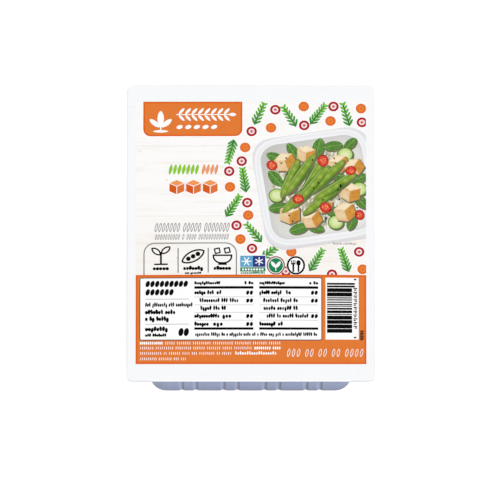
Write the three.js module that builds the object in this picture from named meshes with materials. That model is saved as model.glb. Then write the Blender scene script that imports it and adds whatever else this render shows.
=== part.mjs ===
// A sealed tub of tofu: a deep thermoformed tray with a flat flange, fluted walls and a recessed floor,
// and the lidding film that is heat-sealed onto the flange and domes a little over the contents.
// The tub is shut, so the tray is one solid, filled up to the film.
// Millimetres, +Z up, the long side along Y. The origin is the centre of the footprint, at the foot.
import * as THREE from "three";

// Driving sizes of the whole pack.
const packWidth = 115;
const packLength = 146;
const packHeight = 46;

// The film, a thin sheet cut to the flange's own outline.
const filmThickness = 0.3;
const filmCrown = 0.9; // how far its middle stands above the sealed edge
const filmEdgeRadius = 2.8; // corner radius of the film and of the flange
const filmCornerSteps = 6;
const filmSideSteps = 8;
const filmRings = 7; // rings of facets from the seal to the middle

// The tray's flange.
const flangeTop = packHeight - filmCrown - filmThickness;
const flangeThickness = 1.0;
const flangeUnderside = flangeTop - flangeThickness;
const underFlangeRadius = 1.2; // fillet between the wall and the flange
const underFlangeSteps = 3;

// The tray's wall leans outwards from the floor to a small stacking shoulder below the flange.
const floorInset = 10.9; // from the flange's edge in to the wall's foot
const wallDraft = Math.tan(THREE.MathUtils.degToRad(3.8));
const floorCornerRadius = 7.5;
const cornerRadiusGrowth = 0.05; // mm of extra corner radius for each mm of height
const floorRadius = 2.1; // fillet between the wall and the foot
const floorRadiusSteps = 5;
const shoulderBottom = 39.2;
const shoulderTop = 40.0;
const shoulderWidth = 0.8;
const wallCornerSteps = 8;

// The contents dome up under the film, and stop a little short of it.
const contentsGap = 0.3;
const contentsInset = 1.2; // from the seal's inner edge in to the foot of that dome
const contentsRingCount = 4;
const contentsRingWidth = 12;

// The underside: a flat foot all round, and a floor that is recessed in two steps.
const footWidth = 6;
const recessHeight = 1.3;
const recessDraft = 0.8;
const panelInset = 9;
const panelStep = 0.7;
const innerCornerRadius = 4; // least corner radius of the recess and its panel

// Upright flutes in the wall, in pairs, with the same margin left beside each corner.
const flutePairsOnEnd = 4;
const flutePairsOnSide = 6;
const fluteSpacing = 6.5; // between the two flutes of a pair
const fluteWidth = 2.8;
const fluteFloorWidth = 0.8;
const fluteDepth = 0.7;
const fluteShareOnFillet = 0.8; // how much of that depth a flute has where the floor fillet ends
const endFluteMargin = 17.9; // from the wall's corner to the middle of the last pair
const fluteBottom = 5.2;
const fluteTop = 36.4;
const fluteRunOut = 2.2;
const stationClearance = 0.2; // least distance from a corner to the nearest station

// Middles of the flute pairs along a wall of the given half length.
function pairPositions(count, halfLength) {
  const reach = halfLength - endFluteMargin;
  return Array.from({ length: count }, (_, i) => -reach + (2 * reach * i) / (count - 1));
}

// Stations along one wall: the distance from its middle, and whether the wall is pressed in there.
function wallStations(count, halfLength) {
  const stations = [];
  for (const middle of pairPositions(count, halfLength)) {
    for (const flute of [middle - fluteSpacing / 2, middle + fluteSpacing / 2]) {
      stations.push([flute - fluteWidth / 2, 0]);
      stations.push([flute - fluteFloorWidth / 2, 1]);
      stations.push([flute + fluteFloorWidth / 2, 1]);
      stations.push([flute + fluteWidth / 2, 0]);
    }
  }
  return stations;
}

const floorHalfWidth = packWidth / 2 - floorInset;
const floorHalfLength = packLength / 2 - floorInset;
const endStations = wallStations(flutePairsOnEnd, floorHalfWidth);
const sideStations = wallStations(flutePairsOnSide, floorHalfLength);

// A rounded rectangle at height z, anticlockwise from the right side. Each side passes through its
// stations, pushed in by pressedIn where a flute runs. On a ring too small for them, the stations
// draw together so that they stay between its corners.
function outline({ halfWidth, halfLength, radius, z, pressedIn = 0, sides, ends, cornerSteps }) {
  const points = [];
  const quarter = Math.PI / 2;
  for (let side = 0; side < 4; side++) {
    const onLongSide = side % 2 === 0;
    const out = onLongSide ? halfWidth : halfLength;
    const along = onLongSide ? halfLength : halfWidth;
    const stations = onLongSide ? sides : ends;
    const squeeze = Math.min(1, (along - radius) / (stations.at(-1)[0] + stationClearance));
    const turn = new THREE.Matrix4().makeRotationZ(side * quarter);
    for (const [station, pressed] of stations) {
      const point = new THREE.Vector3(out - pressed * pressedIn, station * squeeze, z);
      points.push(point.applyMatrix4(turn));
    }
    for (let step = 0; step <= cornerSteps; step++) {
      const angle = (step / cornerSteps) * quarter;
      const x = out - radius + radius * Math.cos(angle);
      const y = along - radius + radius * Math.sin(angle);
      points.push(new THREE.Vector3(x, y, z).applyMatrix4(turn));
    }
  }
  return points;
}

// A closed skin over rings of equally many points. Each end is gathered into a middle point at the
// given height.
function loft(rings, startHeight, endHeight) {
  const count = rings[0].length;
  const positions = rings.flat().flatMap((point) => point.toArray());
  const first = rings.flat().length;
  positions.push(0, 0, startHeight);
  positions.push(0, 0, endHeight);
  const index = [];
  for (let i = 0; i < count; i++) {
    const next = (i + 1) % count;
    index.push(first, next, i);
    for (let ring = 0; ring < rings.length - 1; ring++) {
      const low = ring * count;
      const high = low + count;
      index.push(low + i, low + next, high + next);
      index.push(low + i, high + next, high + i);
    }
    const last = (rings.length - 1) * count;
    index.push(first + 1, last + i, last + next);
  }
  const geometry = new THREE.BufferGeometry();
  geometry.setAttribute("position", new THREE.Float32BufferAttribute(positions, 3));
  geometry.setIndex(index);
  geometry.computeVertexNormals();
  return geometry;
}

// One ring of the tray, grown outwards from the wall's foot by the given distance.
function trayRing(z, grown, pressedIn = 0) {
  const cornerRadius = floorCornerRadius + Math.min(grown, 0) + cornerRadiusGrowth * z;
  return outline({
    halfWidth: floorHalfWidth + grown,
    halfLength: floorHalfLength + grown,
    radius: Math.max(cornerRadius, innerCornerRadius),
    z,
    pressedIn,
    sides: sideStations,
    ends: endStations,
    cornerSteps: wallCornerSteps,
  });
}

// How far the leaning wall stands outside its own foot at height z.
function wallGrowth(z) {
  return z * wallDraft;
}

// The underside, from the middle panel out to the flat foot.
function undersideRings() {
  const footInner = -floorRadius - footWidth;
  const panelEdge = footInner - recessDraft - panelInset;
  return [
    trayRing(recessHeight + panelStep, panelEdge - panelStep),
    trayRing(recessHeight, panelEdge),
    trayRing(recessHeight, footInner - recessDraft),
    trayRing(0, footInner),
    trayRing(0, -floorRadius),
  ];
}

// The fillet from the foot up to the wall. The flutes fade in over it.
function floorFilletRings() {
  const rings = [];
  for (let step = 1; step <= floorRadiusSteps; step++) {
    const angle = (step / floorRadiusSteps) * (Math.PI / 2);
    const z = floorRadius * (1 - Math.cos(angle));
    const grown = floorRadius * (Math.sin(angle) - 1) + wallGrowth(z);
    rings.push(trayRing(z, grown, fluteDepth * fluteShareOnFillet * (step / floorRadiusSteps)));
  }
  return rings;
}

// The fluted wall, the stacking shoulder and the fillet under the flange.
function wallRings() {
  const rings = [
    trayRing(fluteBottom, wallGrowth(fluteBottom), fluteDepth),
    trayRing(fluteTop, wallGrowth(fluteTop), fluteDepth),
    trayRing(fluteTop + fluteRunOut, wallGrowth(fluteTop + fluteRunOut)),
    trayRing(shoulderBottom, wallGrowth(shoulderBottom)),
    trayRing(shoulderTop, wallGrowth(shoulderTop) + shoulderWidth),
  ];
  for (let step = 0; step <= underFlangeSteps; step++) {
    const angle = (step / underFlangeSteps) * (Math.PI / 2);
    const z = flangeUnderside - underFlangeRadius * (1 - Math.sin(angle));
    const outwards = underFlangeRadius * (1 - Math.cos(angle));
    rings.push(trayRing(z, wallGrowth(z) + shoulderWidth + outwards));
  }
  return rings;
}

// The flange's outer edge, with the wall's stations carried out to it.
function flangeRing(z) {
  return outline({
    halfWidth: packWidth / 2,
    halfLength: packLength / 2,
    radius: filmEdgeRadius,
    z,
    sides: sideStations,
    ends: endStations,
    cornerSteps: wallCornerSteps,
  });
}

// Lifts a ring's points onto a shallow cushion that rises by crown over a rectangle of these half sizes.
function lift(points, crown, halfWidth, halfLength) {
  for (const point of points) {
    point.z += crown * (1 - (point.x / halfWidth) ** 2) * (1 - (point.y / halfLength) ** 2);
  }
  return points;
}

// How far the seal's inner edge stands outside the wall's foot.
function sealGrowth() {
  return wallGrowth(flangeUnderside) + shoulderWidth;
}

// The top of the contents, from the flange in to the middle.
function contentsRings() {
  const edge = sealGrowth() - contentsInset;
  const rings = [trayRing(flangeTop, edge)];
  for (let ring = 1; ring < contentsRingCount; ring++) {
    const points = trayRing(flangeTop, edge - ring * contentsRingWidth);
    rings.push(lift(points, filmCrown - contentsGap, floorHalfWidth + edge, floorHalfLength + edge));
  }
  return rings;
}

function makeTray() {
  const rings = [
    ...undersideRings(),
    ...floorFilletRings(),
    ...wallRings(),
    flangeRing(flangeUnderside),
    flangeRing(flangeTop),
    ...contentsRings(),
  ];
  const contentsTop = flangeTop + filmCrown - contentsGap;
  const milkyBluePlastic = new THREE.MeshStandardMaterial({
    color: 0x98a2be,
    roughness: 0.4,
    metalness: 0,
  });
  const skin = loft(rings, recessHeight + panelStep, contentsTop);
  const tray = new THREE.Mesh(skin, milkyBluePlastic);
  tray.name = "tray";
  return tray;
}

// One ring of the film, a given share of the way from its middle to the seal's inner edge.
function filmRing(z, halfWidth, halfLength, radius) {
  const stations = (reach) =>
    Array.from({ length: filmSideSteps - 1 }, (_, i) => [
      -reach + (2 * reach * (i + 1)) / filmSideSteps,
      0,
    ]);
  return outline({
    halfWidth,
    halfLength,
    radius,
    z,
    sides: stations(halfLength - radius),
    ends: stations(halfWidth - radius),
    cornerSteps: filmCornerSteps,
  });
}

// The film's sealed band is flat on the flange. Inside it the sheet arches like a shallow cushion.
function archRings(baseHeight) {
  const halfWidth = floorHalfWidth + sealGrowth();
  const halfLength = floorHalfLength + sealGrowth();
  const radius = floorCornerRadius + cornerRadiusGrowth * flangeUnderside;
  const rings = [filmRing(baseHeight, halfWidth, halfLength, radius)];
  for (let ring = 1; ring < filmRings; ring++) {
    const share = 1 - ring / filmRings;
    const points = filmRing(baseHeight, halfWidth * share, halfLength * share, radius * share);
    rings.push(lift(points, filmCrown, halfWidth, halfLength));
  }
  return rings;
}

function makeFilm() {
  const edge = (z) => filmRing(z, packWidth / 2, packLength / 2, filmEdgeRadius);
  const rings = [
    ...archRings(flangeTop).reverse(),
    edge(flangeTop),
    edge(flangeTop + filmThickness),
    ...archRings(flangeTop + filmThickness),
  ];
  const whiteFilm = new THREE.MeshStandardMaterial({
    color: 0xf8f9fa,
    roughness: 0.3,
    metalness: 0,
  });
  const film = new THREE.Mesh(loft(rings, flangeTop + filmCrown, packHeight), whiteFilm);
  film.name = "lid_film";
  return film;
}

const tofuPack = new THREE.Group();
tofuPack.add(makeTray(), makeFilm());

export default tofuPack;
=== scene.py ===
# %% [markdown]
# # A sealed tub of tofu
#
# Tofu is sold in a shallow tub: a tray pressed from warm plastic sheet, filled with the block and its
# water, and shut by a printed film that is heat-sealed onto the tray's flange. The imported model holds
# both parts as plain solids of the right size. This lesson gives them the surface of the real things:
# a milky fluted tray, a slack white film, and a print that is built up from thin layers of ink.

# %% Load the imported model
import functools
import math
import random

import bmesh
import bpy
from mathutils import Matrix, Vector, noise


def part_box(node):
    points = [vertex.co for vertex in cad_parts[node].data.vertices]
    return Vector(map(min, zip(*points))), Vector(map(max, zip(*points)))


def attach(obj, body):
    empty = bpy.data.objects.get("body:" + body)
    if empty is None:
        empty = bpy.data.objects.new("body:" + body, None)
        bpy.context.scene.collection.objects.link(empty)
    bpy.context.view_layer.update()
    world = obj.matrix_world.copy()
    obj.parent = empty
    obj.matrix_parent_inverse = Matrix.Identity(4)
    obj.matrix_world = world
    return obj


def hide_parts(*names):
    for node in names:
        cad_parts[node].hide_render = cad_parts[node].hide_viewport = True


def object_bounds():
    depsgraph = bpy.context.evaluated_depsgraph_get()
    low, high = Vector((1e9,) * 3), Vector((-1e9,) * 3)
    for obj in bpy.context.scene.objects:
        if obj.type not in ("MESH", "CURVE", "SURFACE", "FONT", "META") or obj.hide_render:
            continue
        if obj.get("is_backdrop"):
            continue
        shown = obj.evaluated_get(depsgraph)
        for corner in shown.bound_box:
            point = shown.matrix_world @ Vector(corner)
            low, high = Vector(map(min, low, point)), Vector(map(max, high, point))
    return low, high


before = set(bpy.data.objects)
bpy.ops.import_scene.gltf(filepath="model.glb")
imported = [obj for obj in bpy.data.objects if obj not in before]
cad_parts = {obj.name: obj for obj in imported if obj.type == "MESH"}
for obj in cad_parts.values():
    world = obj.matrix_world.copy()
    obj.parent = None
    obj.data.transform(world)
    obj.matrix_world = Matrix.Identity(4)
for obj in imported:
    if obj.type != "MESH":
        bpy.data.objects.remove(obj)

cad_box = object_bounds()
MM = 0.001
tray_low, tray_high = (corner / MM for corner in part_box("tray"))
film_low, film_high = (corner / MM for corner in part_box("lid_film"))
half_width, half_length, pack_top = film_high
print(f"the pack is {2 * half_width:.1f} x {2 * half_length:.1f} x {pack_top:.1f} mm")
print(f"its filled tray reaches from {tray_low.z:.1f} to {tray_high.z:.1f} mm")

# %% [markdown]
# ## The camera
#
# The pack lies on its foot and is looked at from its lower end, 20 degrees off square, so that the film
# fills the picture and a strip of the end wall shows below it. A long lens from far away keeps the
# film's sides parallel, as on a catalogue page.

# %% Camera
view_elevation = math.radians(70)
view_distance = 10  # metres
view_width = 231.6 * MM  # what the picture takes in, across the middle of the film
aim = Vector((-0.35, -8.87, pack_top)) * MM
towards_camera = Vector((0, -math.cos(view_elevation), math.sin(view_elevation)))
camera_data = bpy.data.cameras.new("camera")
camera_data.lens = camera_data.sensor_width * view_distance / view_width
camera_data.clip_end = 3 * view_distance
camera = bpy.data.objects.new("camera", camera_data)
camera.location = aim + towards_camera * view_distance
camera.rotation_euler = (math.pi / 2 - view_elevation, 0, 0)
bpy.context.scene.collection.objects.link(camera)
bpy.context.scene.camera = camera
bpy.context.scene.view_settings.view_transform = "Standard"
print(f"a {camera_data.lens:.0f} mm lens at {view_distance} m")

# %% [markdown]
# ## A finish, node by node
#
# Each surface below gets its own material. Writing every node and link out would bury the idea of a
# finish in typing, so two small classes do it: a Finish adds nodes, and a Wire is the output of one.
# Sums written on wires, such as 1 - mask, add the Math nodes that work them out.

# %% Helpers for finishes
class Wire:
    """One output of a node. Sums on it add Math nodes to its finish."""

    def __init__(self, finish, socket):
        self.finish = finish
        self.socket = socket

    def worked_out(self, operation, *values):
        return self.finish.node("ShaderNodeMath", {"operation": operation}, dict(enumerate(values)))

    def __add__(self, other):
        return self.worked_out("ADD", self, other)

    def __sub__(self, other):
        return self.worked_out("SUBTRACT", self, other)

    def __rsub__(self, other):
        return self.worked_out("SUBTRACT", other, self)

    def __mul__(self, other):
        return self.worked_out("MULTIPLY", self, other)

    def __pow__(self, exponent):
        return self.worked_out("POWER", self, exponent)

    def __abs__(self):
        return self.worked_out("ABSOLUTE", self)

    __radd__ = __add__
    __rmul__ = __mul__

    def highest(self, other):
        return self.worked_out("MAXIMUM", self, other)

    def wave(self):
        return self.worked_out("SINE", self)

    def spread(self, start, end):
        """Runs from 0 at the start to 1 at the end, and stays between them. The start may be the higher."""
        sockets = {"Value": self, "From Min": start, "From Max": end}
        return self.finish.node("ShaderNodeMapRange", {"clamp": True}, sockets)

    def near(self, value, reach, core=0.0):
        """1 where the wire is within the core of a value, and 0 from the reach outwards."""
        return abs(self - value).spread(reach, core)


class Finish:
    """A material and what feeds its shader."""

    def __init__(self, name, **sockets):
        self.material = bpy.data.materials.new(name)
        self.material.use_nodes = True
        self.tree = self.material.node_tree
        self.shader = self.tree.nodes["Principled BSDF"]
        for socket, value in sockets.items():
            self.feed(socket.replace("_", " "), value)

    def feed(self, socket, value):
        self.plug(self.shader.inputs[socket], value)

    def plug(self, socket, value):
        if isinstance(value, Wire):
            self.tree.links.new(value.socket, socket)
        else:
            socket.default_value = value

    def node(self, kind, settings=None, sockets=None, output=0):
        """Adds a node, makes its settings, then fills its sockets, and gives one of its outputs."""
        node = self.tree.nodes.new(kind)
        for name, value in (settings or {}).items():
            setattr(node, name, value)
        for key, value in (sockets or {}).items():
            self.plug(node.inputs[key], value)
        return Wire(self, node.outputs[output])

    def place(self, stretch=(1, 1, 1), turn=0.0):
        """The point on the piece in millimetres, stretched and turned for a pattern."""
        point = self.node("ShaderNodeTexCoord", output="Object")
        sockets = {"Vector": point, "Rotation": (0, 0, turn), "Scale": [side / MM for side in stretch]}
        return self.node("ShaderNodeMapping", sockets=sockets)

    def axes(self, vector=None):
        split = self.node("ShaderNodeSeparateXYZ", sockets={0: vector or self.place()})
        return [Wire(self, output) for output in split.socket.node.outputs]

    def from_edge(self):
        """How far outside the film's straight edges a point lies, in millimetres: below 0 within them."""
        across, along, _ = self.axes()
        return (abs(across) - half_width).highest(abs(along) - half_length)

    def noise(self, size, detail=3, roughness=0.55, stretch=(1, 1, 1)):
        """Clouds of a size in millimetres, drawn out along each axis whose stretch is below 1."""
        where = self.place(stretch)
        sockets = {"Vector": where, "Scale": 1 / size, "Detail": detail, "Roughness": roughness}
        return self.node("ShaderNodeTexNoise", sockets=sockets)

    def cells(self, size, stretch=(1, 1, 1), turn=0.0):
        """How far a point is from the middle of the nearest of many scattered cells."""
        sockets = {"Vector": self.place(stretch, turn), "Scale": 1 / size}
        return self.node("ShaderNodeTexVoronoi", {"feature": "F1"}, sockets)

    def attribute(self, name):
        return self.node("ShaderNodeAttribute", {"attribute_name": name}, output="Fac")

    def coats(self, colour, *coats):
        """Lays coats over a first colour. Each coat is the share of it that shows, and its colour."""
        for share, coat in coats:
            sockets = {0: share, 6: colour, 7: coat}
            colour = self.node("ShaderNodeMix", {"data_type": "RGBA"}, sockets, output=2)
        self.feed("Base Color", colour)

    def relief(self, height, depth):
        """Raises the surface where height is 1, by so many millimetres."""
        sockets = {"Height": height, "Distance": depth * MM, "Strength": 1.0}
        self.feed("Normal", self.node("ShaderNodeBump", sockets=sockets))

# %% [markdown]
# ## Colours as they look
#
# It is easier to name a colour by how it looks on a screen, from 0 to 255, than by the share of light
# that a surface sends back. The studio light is set a little over full, so that white ink comes out
# white. A colour is turned into that share, and divided by how bright the light is.

# %% Helper for colours
studio_level = 1.085  # how bright a white card that lies flat would be, where 1 is white on the screen


def seen(red, green, blue):
    """The base colour that looks like this under the studio light."""
    shares = []
    for value in (red, green, blue):
        part = value / 255
        linear = part / 12.92 if part <= 0.04045 else ((part + 0.055) / 1.055) ** 2.4
        shares.append(linear / studio_level)
    return (*shares, 1.0)


def shaded(colour, factor):
    """The same colour, darker below a factor of 1 and lighter above it."""
    return (*[min(1.0, part * factor) for part in colour[:3]], 1.0)


print("white ink sends back", [round(part, 3) for part in seen(255, 255, 255)[:3]])

# %% [markdown]
# ## The studio
#
# The floor is a pale sheet that glows a little of itself, like the lit opal table of a studio for
# small goods, so the pack's shadow stays faint. The light is even: most of it comes from the whole
# sky, and three very wide lamps give it a direction, the strongest from the right.

# %% Floor and light
floor_half_size = 12  # metres
floor_glow = 0.58
sky_strength = 0.5
floor_mesh = bmesh.new()
bmesh.ops.create_grid(floor_mesh, x_segments=1, y_segments=1, size=floor_half_size)
floor_data = bpy.data.meshes.new("floor")
floor_mesh.to_mesh(floor_data)
floor_mesh.free()
floor = bpy.data.objects.new("floor", floor_data)
bpy.context.scene.collection.objects.link(floor)
floor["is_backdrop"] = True
opal = Finish("opal_table", Base_Color=(0.8, 0.8, 0.8, 1), Roughness=0.6)
opal.feed("Emission Color", (1, 1, 1, 1))
opal.feed("Emission Strength", floor_glow)
floor_data.materials.append(opal.material)

sky = bpy.data.worlds.new("studio")
sky.use_nodes = True
sky_shader = sky.node_tree.nodes["Background"]
sky_shader.inputs["Color"].default_value = (1, 1, 1, 1)
sky_shader.inputs["Strength"].default_value = sky_strength
bpy.context.scene.world = sky


def add_lamp(name, azimuth, elevation, strength, width):
    """A far, wide lamp. Azimuth 0 is the viewer's side and 90 the right, both in degrees."""
    lamp_data = bpy.data.lights.new(name, "SUN")
    lamp_data.energy = strength
    lamp_data.angle = math.radians(width)
    lamp = bpy.data.objects.new(name, lamp_data)
    lamp.rotation_mode = "XYZ"
    lamp.rotation_euler = (math.radians(90 - elevation), 0, math.radians(azimuth))
    bpy.context.scene.collection.objects.link(lamp)


add_lamp("key_lamp", azimuth=55, elevation=42, strength=1.7, width=50)
add_lamp("fill_lamp", azimuth=-60, elevation=40, strength=0.5, width=80)
add_lamp("back_lamp", azimuth=190, elevation=30, strength=0.8, width=70)
print(f"{len(bpy.data.lights)} lamps over a floor {2 * floor_half_size} m wide")

# %% [markdown]
# ## Finishing a piece
#
# Every piece is drawn in millimetres and shrunk to metres at the end. Its edges that turn more than a
# set angle stay crisp, and the rest is shaded smooth. It then rides on the pack's one body. Bevels and
# cuts come up again and again below, so each has a short function.

# %% Helpers that shape a mesh and make it a piece
crisp_angle = math.radians(38)


def make_piece(mesh, name, finish):
    bmesh.ops.scale(mesh, vec=(MM, MM, MM), verts=mesh.verts)
    data = bpy.data.meshes.new(name)
    mesh.to_mesh(data)
    mesh.free()
    data.shade_smooth()
    data.set_sharp_from_angle(angle=crisp_angle)
    data.materials.append(finish.material)
    piece = bpy.data.objects.new(name, data)
    bpy.context.scene.collection.objects.link(piece)
    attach(piece, "root")
    print(f"{name}: {len(data.polygons)} faces")
    return piece


def points_among(parts):
    return {part for part in parts if isinstance(part, bmesh.types.BMVert)}


def bevel(mesh, parts, offset, segments, affect="EDGES"):
    """Rounds off edges, or the corners of a flat shape, and gives the new points."""
    return bmesh.ops.bevel(
        mesh, geom=parts, offset=offset, segments=segments, profile=0.5, affect=affect, material=-1
    )["verts"]


def cut(mesh, axis, position, drop_beyond=False):
    """Cuts a mesh along a plane across X (0) or Y (1), and may drop what lies beyond it."""
    point, normal = Vector(), Vector()
    point[axis] = position
    normal[axis] = -1 if drop_beyond and position < 0 else 1
    parts = mesh.verts[:] + mesh.edges[:] + mesh.faces[:]
    bmesh.ops.bisect_plane(
        mesh, geom=parts, dist=1e-5, plane_co=point, plane_no=normal, clear_outer=drop_beyond
    )


# %% [markdown]
# ## The tray's outline
#
# The wall follows one outline all the way up, a rectangle with round corners that grows as the wall
# leans out. So the outline is made once, at the wall's foot: a rectangle whose corners are bevelled.
# Pairs of flutes are pressed into the wall. Each flute needs its own points on the outline, and cutting
# the loop of edges with planes puts them there. Every point then remembers where it started, which way
# the wall faces there, and how deep in a flute it lies, so that later rings can be worked out from it.

# %% Outline of the wall
floor_inset = 10.9  # from the flange's edge in to the wall's foot
floor_corner_radius = 7.5
corner_segments = 12
flute_spacing = 6.5  # between the two flutes of a pair
flute_half_width = 1.5
flute_cuts = (-1.35, -1, -0.72, -0.44, -0.2, 0, 0.2, 0.44, 0.72, 1, 1.35)  # in half widths
end_flute_margin = 17.9  # from the end of a wall to the middle of its first pair
foot_half = (half_width - floor_inset, half_length - floor_inset)
straight_half = [side - floor_corner_radius for side in foot_half]  # out to where the corners start
flute_pairs = (4, 6)  # along an end wall and along a side wall
no_turn = 1e-4  # a wall that faces so little along an axis runs straight along it


def flute_middles(axis):
    """Where the flutes lie along the wall that runs along X (0) or Y (1)."""
    reach = foot_half[axis] - end_flute_margin
    pairs = flute_pairs[axis]
    middles = [-reach + 2 * reach * number / (pairs - 1) for number in range(pairs)]
    return [middle + side * flute_spacing / 2 for middle in middles for side in (-1, 1)]


def flute_at(place, axis):
    """The depth there, from 0 on the flat wall to 1, and the offset from the flute's middle."""
    offset = min((place - middle for middle in flute_middles(axis)), key=abs) / flute_half_width
    return (0.5 + 0.5 * math.cos(math.pi * offset), offset) if abs(offset) < 1 else (0.0, 0.0)


def rectangle(mesh, half, radius=0.0, segments=5, rounded="all"):
    """Adds a rectangle about the middle and gives its points.

    A radius rounds all of its corners, or only the high or the low ones.
    """
    points = bmesh.ops.create_grid(mesh, x_segments=1, y_segments=1, size=1)["verts"]
    bmesh.ops.scale(mesh, vec=(*half, 1), verts=points)
    if radius:
        side = {"all": 0, "low": -1, "high": 1}[rounded]
        chosen = [point for point in points if point.co.y * side >= 0]
        points = [point for point in points if point not in chosen]
        points += bevel(mesh, chosen, radius, segments, "VERTICES")
    return points


tray = bmesh.new()
rectangle(tray, foot_half, floor_corner_radius, corner_segments)
bmesh.ops.delete(tray, geom=tray.faces[:], context="FACES_ONLY")
for axis in (0, 1):
    for middle in flute_middles(axis):
        for share in flute_cuts:
            cut(tray, axis, middle + share * flute_half_width)

start_of = tray.verts.layers.float_vector.new("start")
facing_of = tray.verts.layers.float_vector.new("facing")
depth_of = tray.verts.layers.float.new("depth")
offset_of = tray.verts.layers.float.new("offset")
flute_of = tray.verts.layers.float.new("flute")
for point in tray.verts:
    over = [max(0.0, abs(point.co[axis]) - straight_half[axis]) for axis in (0, 1)]
    facing = Vector((math.copysign(over[0], point.co.x), math.copysign(over[1], point.co.y), 0))
    point[start_of] = point.co
    point[facing_of] = facing.normalized()
    if min(over) < no_turn:
        runs_along = 0 if over[1] > 0 else 1
        point[depth_of], point[offset_of] = flute_at(point.co[runs_along], runs_along)
print(f"{len(tray.verts)} points round the wall")

# %% [markdown]
# ## Raising the tray
#
# A thermoformed tray is one skin, so it is made as one: the outline's edges are extruded again and
# again, and each new ring is moved to its own height and size. The list of rings is the tray's
# profile, from the sunken floor out under the foot, up the wall and out to the flange's edge.

# %% Rings of the tray
floor_radius = 2.1
foot_width = 6
recess_height = 1.3
recess_draft = 0.8
panel_inset = 9
panel_step = 0.7
flute_depth = 0.7
flute_bottom, flute_top, flute_run_out = 5.2, 36.4, 2.6
pressed_at_foot = 0.8  # the share of their depth that the flutes have where the wall starts
shoulder_bottom, shoulder_top, shoulder_width = 39.2, 40.0, 0.8
flange_top = film_low.z
flange_thickness = 1.0
flange_underside = flange_top - flange_thickness
under_flange_radius = 1.2
flange_corner_radius = 2.8
least_corner_radius = 4
radius_growth = 0.05  # how much rounder the corners get with each millimetre of height
draft = math.tan(math.radians(3.8))


def wall_ring(height, grown, pressed=0.0):
    """A ring that stands so far outside the wall's foot, with its flutes pressed in by a share."""
    radius = max(floor_corner_radius + min(grown, 0) + radius_growth * height, least_corner_radius)
    return height, [side + grown for side in foot_half], radius, pressed


def leaning(height, pressed=0.0, beyond=0.0):
    """A ring of the leaning wall itself."""
    return wall_ring(height, height * draft + beyond, pressed)


def shares(count):
    """The shares of a way after each of so many equal steps."""
    return [number / count for number in range(1, count + 1)]


def eased(share):
    return share * share * (3 - 2 * share)


foot_inner = -floor_radius - foot_width
panel_edge = foot_inner - recess_draft - panel_inset
profile = [
    wall_ring(recess_height + panel_step, panel_edge - panel_step),
    wall_ring(recess_height, panel_edge),
    wall_ring(recess_height, foot_inner - recess_draft),
    wall_ring(0, foot_inner),
    wall_ring(0, -floor_radius),
]
for share in shares(9):
    rise = floor_radius * (1 - math.cos(math.pi / 2 * share))
    out = floor_radius * (math.sin(math.pi / 2 * share) - 1)
    profile.append(leaning(rise, pressed_at_foot * eased(share), out))
profile.append(leaning(flute_bottom, 1))
profile += [leaning(flute_bottom + (flute_top - flute_bottom) * share, 1) for share in shares(8)]
profile += [leaning(flute_top + flute_run_out * share, 1 - eased(share)) for share in shares(6)]
profile.append(leaning(shoulder_bottom))
profile.append(leaning(shoulder_top, beyond=shoulder_width))
for share in (0, *shares(6)):
    drop = under_flange_radius * (1 - math.sin(math.pi / 2 * share))
    out = under_flange_radius * (1 - math.cos(math.pi / 2 * share))
    profile.append(leaning(flange_underside - drop, beyond=shoulder_width + out))
for height in (flange_underside, flange_top):
    profile.append((height, (half_width, half_length), flange_corner_radius, 0))


def move_ring(points, height, half, radius, pressed):
    """Puts the points of one ring where its height, size and flutes say."""
    for point in points:
        start, facing = point[start_of], point[facing_of]
        for axis in (0, 1):
            straight = half[axis] - radius
            if abs(facing[axis]) < no_turn:  # spread over the ring's own length: the flutes fan out
                point.co[axis] = start[axis] * straight / straight_half[axis]
            else:
                out = radius - flute_depth * pressed * point[depth_of]
                point.co[axis] = math.copysign(straight, start[axis]) + facing[axis] * out
        point.co.z = height
        point[flute_of] = pressed * point[depth_of]


move_ring(tray.verts, *profile[0])
rim = tray.edges[:]
for ring in profile[1:]:
    made = bmesh.ops.extrude_edge_only(tray, edges=rim)["geom"]
    new_points = points_among(made)
    rim = [part for part in made if isinstance(part, bmesh.types.BMEdge) and set(part.verts) <= new_points]
    move_ring(new_points, *ring)
open_edges = [edge for edge in tray.edges if edge.is_boundary]
bmesh.ops.edgeloop_fill(tray, edges=open_edges)
bmesh.ops.recalc_face_normals(tray, faces=tray.faces[:])
print(f"{len(profile)} rings, volume {tray.calc_volume() / 1000:.0f} cm3")

# %% [markdown]
# ## Softer edges on the tray
#
# Plastic drawn over a mould never has a sharp edge. The profile above has one at each step of the
# floor, at the shoulder and at the flange, and a bevel of a quarter of a millimetre takes it off.

# %% Bevel the tray's sharp edges
soft_edge = 0.25
sharp_turn = math.radians(33)
sharp_edges = [edge for edge in tray.edges if edge.calc_face_angle(0.0) > sharp_turn]
bevel(tray, sharp_edges, soft_edge, segments=2)
print(f"{len(sharp_edges)} edges softened")
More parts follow.
